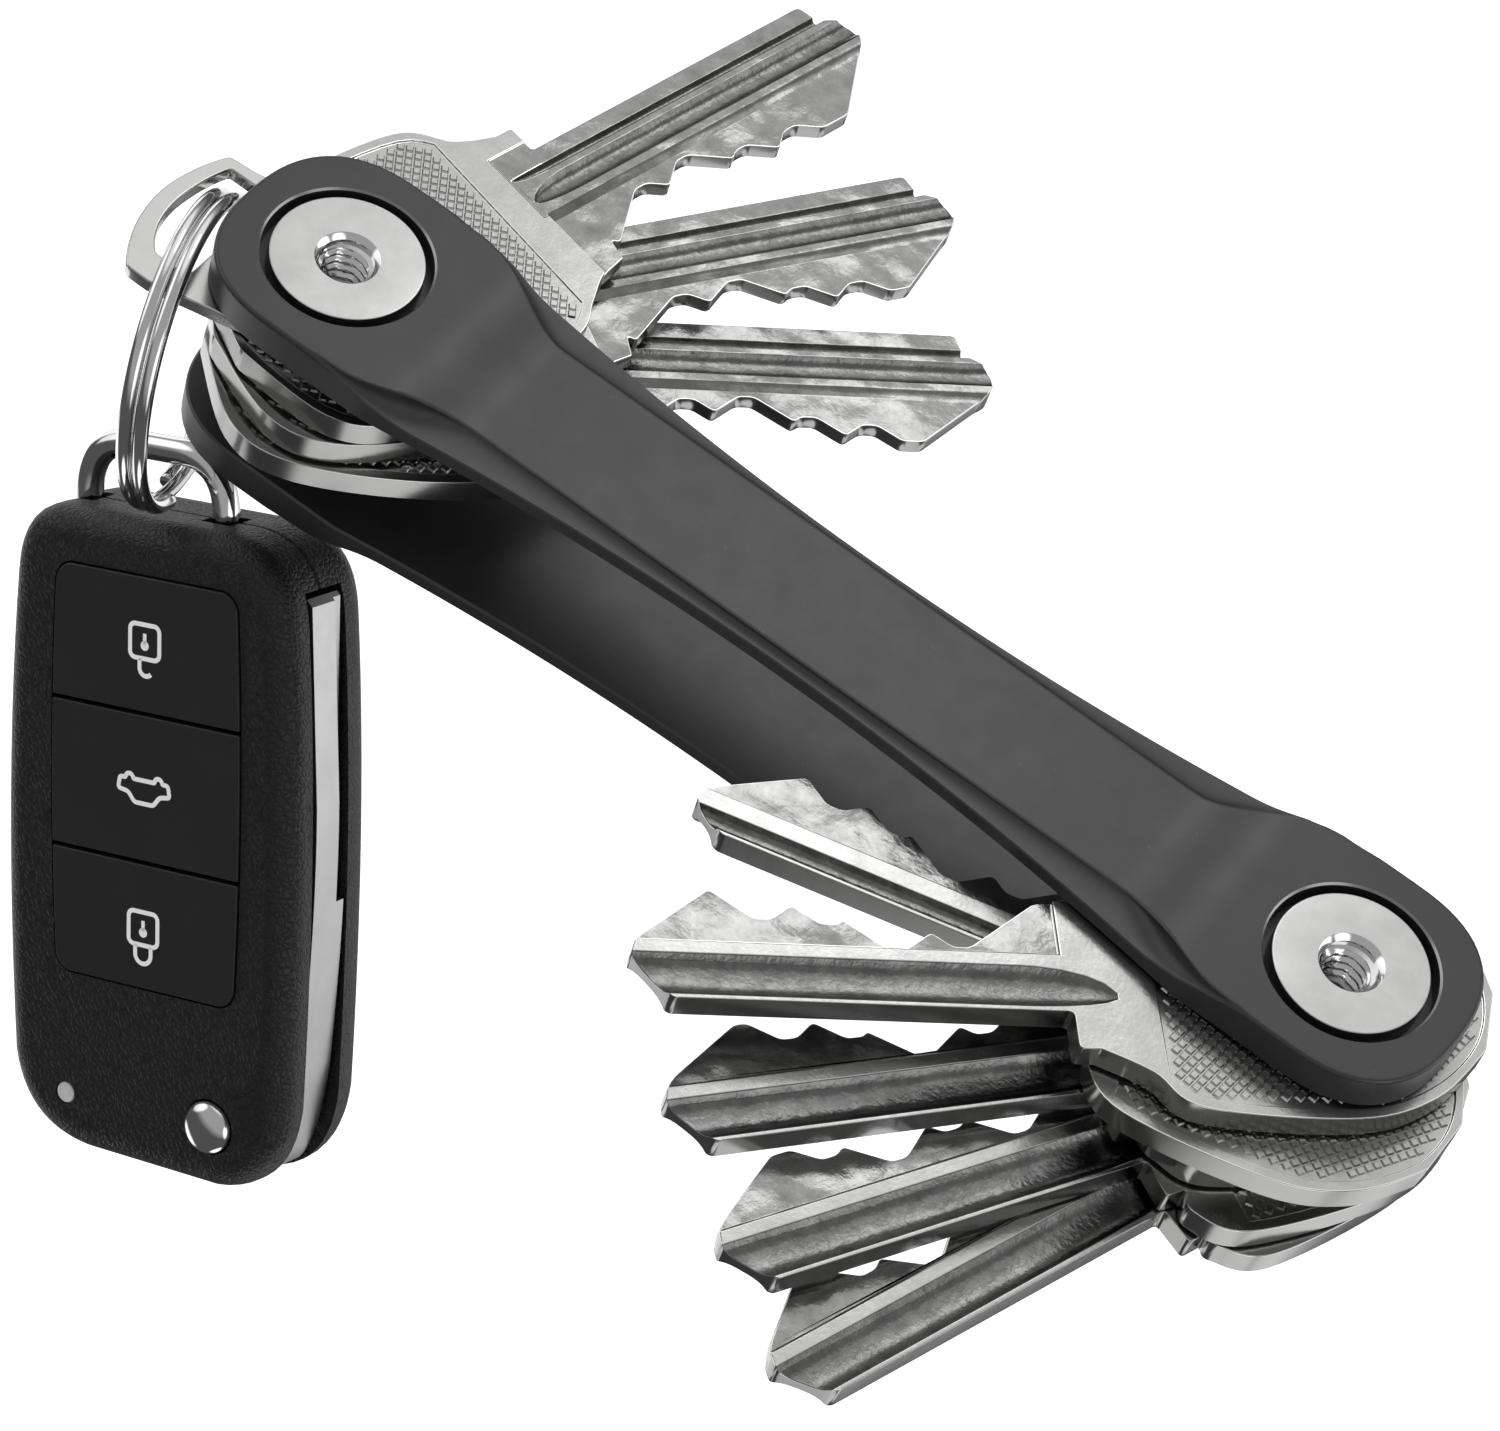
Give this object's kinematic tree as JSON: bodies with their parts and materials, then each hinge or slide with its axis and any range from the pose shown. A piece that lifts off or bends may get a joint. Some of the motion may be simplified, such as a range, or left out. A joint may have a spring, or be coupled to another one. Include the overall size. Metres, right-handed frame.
{
  "type": "key organiser",
  "caption": "Slim pocket key organiser: two waisted plates clamped on two posts hold fold-out keys, with a loop plate, split ring and flip-key remote.",
  "frame": {"origin": "centre of the rear plate's outer face at the waist, half way between the two posts", "axes": "+X along the organiser towards the post of the five right keys, +Z square out of the front plate, +Y completes the right-handed frame"},
  "size_m": [0.1095, 0.0909, 0.0671],
  "materials": {
    "anodised": "black anodised, satin",
    "key_steel": "nickel-plated key blank, lightly brushed",
    "nickel": "nickel plated",
    "bright_steel": "polished",
    "blade_steel": "ground steel",
    "fob_case": "leather-grained black",
    "button_cap": "soft-touch black",
    "lens": "smoked clear",
    "board": "solder mask"
  },
  "bodies": {
    "organiser": {"front_plate": "anodised", "rear_plate": "anodised", "post_barrel_left": "nickel", "post_barrel_right": "nickel", "post_screw_left": "nickel", "post_screw_right": "nickel", "spacer_left_1": "nickel", "spacer_left_2": "nickel"},
    "key_right_1": {"key_right_1": "key_steel"},
    "key_right_2": {"key_right_2": "key_steel"},
    "key_right_3": {"key_right_3": "key_steel"},
    "key_right_4": {"key_right_4": "key_steel"},
    "key_right_5": {"key_right_5": "key_steel"},
    "key_left_1": {"key_left_1": "key_steel"},
    "key_left_2": {"key_left_2": "key_steel"},
    "key_left_3": {"key_left_3": "key_steel"},
    "loop": {"loop_plate": "nickel"},
    "ring": {"split_ring": "bright_steel"},
    "remote": {"fob_front_shell": "fob_case", "fob_rear_shell": "fob_case", "fob_led_window": "lens", "fob_circuit_board": "board", "fob_battery": "bright_steel", "fob_bail": "bright_steel", "fob_screw": "blade_steel", "fob_hub_spring": "blade_steel"},
    "button_unlock": {"fob_button_unlock": "button_cap"},
    "button_boot": {"fob_button_boot": "button_cap"},
    "button_lock": {"fob_button_lock": "button_cap"},
    "release_button": {"fob_release_button": "bright_steel"},
    "blade": {"fob_blade": "blade_steel", "fob_blade_hub": "nickel"}
  },
  "joints": [
    {"name": "key_right_1_fold", "type": "hinge", "parent": "organiser", "child": "key_right_1", "pos_m": [0.04175, 0, 0.0077], "axis": [0, 0, 1], "range_deg": [-30.4, 134.6]},
    {"name": "key_right_2_fold", "type": "hinge", "parent": "organiser", "child": "key_right_2", "pos_m": [0.04175, 0, 0.0077], "axis": [0, 0, 1], "range_deg": [-6, 159]},
    {"name": "key_right_3_fold", "type": "hinge", "parent": "organiser", "child": "key_right_3", "pos_m": [0.04175, 0, 0.0077], "axis": [0, 0, 1], "range_deg": [-40.4, 124.6]},
    {"name": "key_right_4_fold", "type": "hinge", "parent": "organiser", "child": "key_right_4", "pos_m": [0.04175, 0, 0.0077], "axis": [0, 0, 1], "range_deg": [-50.4, 114.6]},
    {"name": "key_right_5_fold", "type": "hinge", "parent": "organiser", "child": "key_right_5", "pos_m": [0.04175, 0, 0.0077], "axis": [0, 0, 1], "range_deg": [-60.7, 104.3]},
    {"name": "key_left_1_fold", "type": "hinge", "parent": "organiser", "child": "key_left_1", "pos_m": [-0.04175, 0, 0.0077], "axis": [0, 0, 1], "range_deg": [-65.3, 10.7]},
    {"name": "key_left_2_fold", "type": "hinge", "parent": "organiser", "child": "key_left_2", "pos_m": [-0.04175, 0, 0.0077], "axis": [0, 0, 1], "range_deg": [-45.7, 19.3]},
    {"name": "key_left_3_fold", "type": "hinge", "parent": "organiser", "child": "key_left_3", "pos_m": [-0.04175, 0, 0.0077], "axis": [0, 0, 1], "range_deg": [-29.8, 32.2]},
    {"name": "loop_turn", "type": "hinge", "parent": "organiser", "child": "loop", "pos_m": [-0.04175, 0, 0.0132], "axis": [0, 0, 1], "range_deg": [-3, 10]},
    {"name": "ring_turn", "type": "hinge", "parent": "loop", "child": "ring", "pos_m": [-0.04945, -0.00516, 0.00423], "axis": [0.943, 0.298, 0.148], "range_deg": [-25, 1]},
    {"name": "remote_swing", "type": "hinge", "parent": "ring", "child": "remote", "pos_m": [-0.04983, -0.00659, -0.00577], "axis": [0.8738, 0.0932, 0.4773], "range_deg": [-15, 4]},
    {"name": "button_unlock_press", "type": "slide", "parent": "remote", "child": "button_unlock", "axis": [0.1381, 0.8935, -0.4273], "range_m": [0, 0.0004], "stiffness_N_per_m": 800},
    {"name": "button_boot_press", "type": "slide", "parent": "remote", "child": "button_boot", "axis": [0.1381, 0.8935, -0.4273], "range_m": [0, 0.0004], "stiffness_N_per_m": 800},
    {"name": "button_lock_press", "type": "slide", "parent": "remote", "child": "button_lock", "axis": [0.1381, 0.8935, -0.4273], "range_m": [0, 0.0004], "stiffness_N_per_m": 800},
    {"name": "release_press", "type": "slide", "parent": "remote", "child": "release_button", "axis": [0.1381, 0.8935, -0.4273], "range_m": [0, 0.0005], "stiffness_N_per_m": 800},
    {"name": "blade_flip", "type": "hinge", "parent": "remote", "child": "blade", "pos_m": [-0.01957, -0.02693, -0.03853], "axis": [-0.1381, -0.8935, 0.4273], "range_deg": [-180, 0]}
  ]
}
